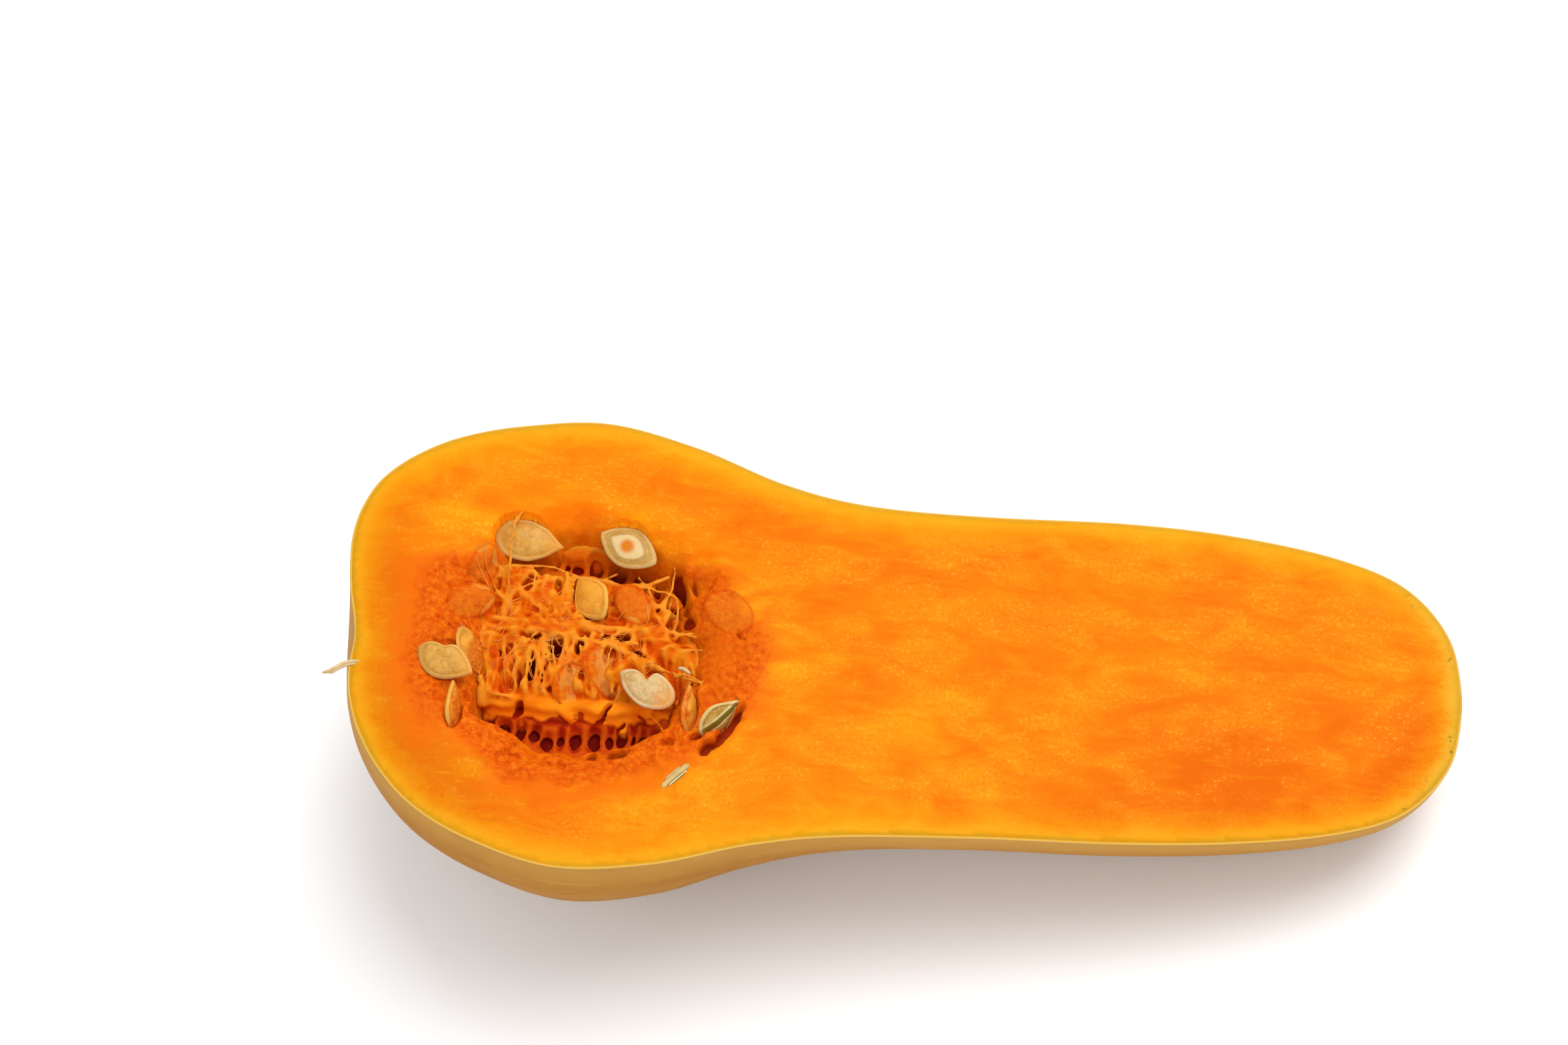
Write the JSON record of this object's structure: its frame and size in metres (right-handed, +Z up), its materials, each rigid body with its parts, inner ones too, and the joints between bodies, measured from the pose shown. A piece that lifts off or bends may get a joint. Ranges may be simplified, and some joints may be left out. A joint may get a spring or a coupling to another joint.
{
  "type": "butternut squash half",
  "caption": "Lengthwise half of a butternut squash, lying on its rind with the cut face up: round bulb with a seed cavity, stringy pulp and seeds, and a long solid neck.",
  "frame": {"origin": "on the surface that it lies on, under the middle of the bounding box", "axes": "+X from the blossom end to the stem end, +Y across, +Z up; the cut face looks up and leans 10.1 degrees down towards the stem end"},
  "size_m": [0.2594, 0.1174, 0.0726],
  "materials": {
    "flesh": "moist orange flesh, satin",
    "rind": "smooth tan rind, satin",
    "pulp": "wet stringy red-orange pulp",
    "seed": "damp cream seed coat, satin"
  },
  "bodies": {
    "root": {"squash_half": "flesh", "seed_pulp": "pulp", "seed_01": "seed", "seed_02": "seed", "seed_03": "seed", "seed_04": "seed", "seed_05": "seed", "seed_06": "seed", "seed_07": "seed", "seed_08": "seed", "seed_09": "seed", "seed_10": "seed", "seed_11": "seed", "seed_12": "seed", "seed_13": "seed", "seed_14": "seed", "seed_15": "seed", "seed_16": "seed"}
  },
  "joints": []
}
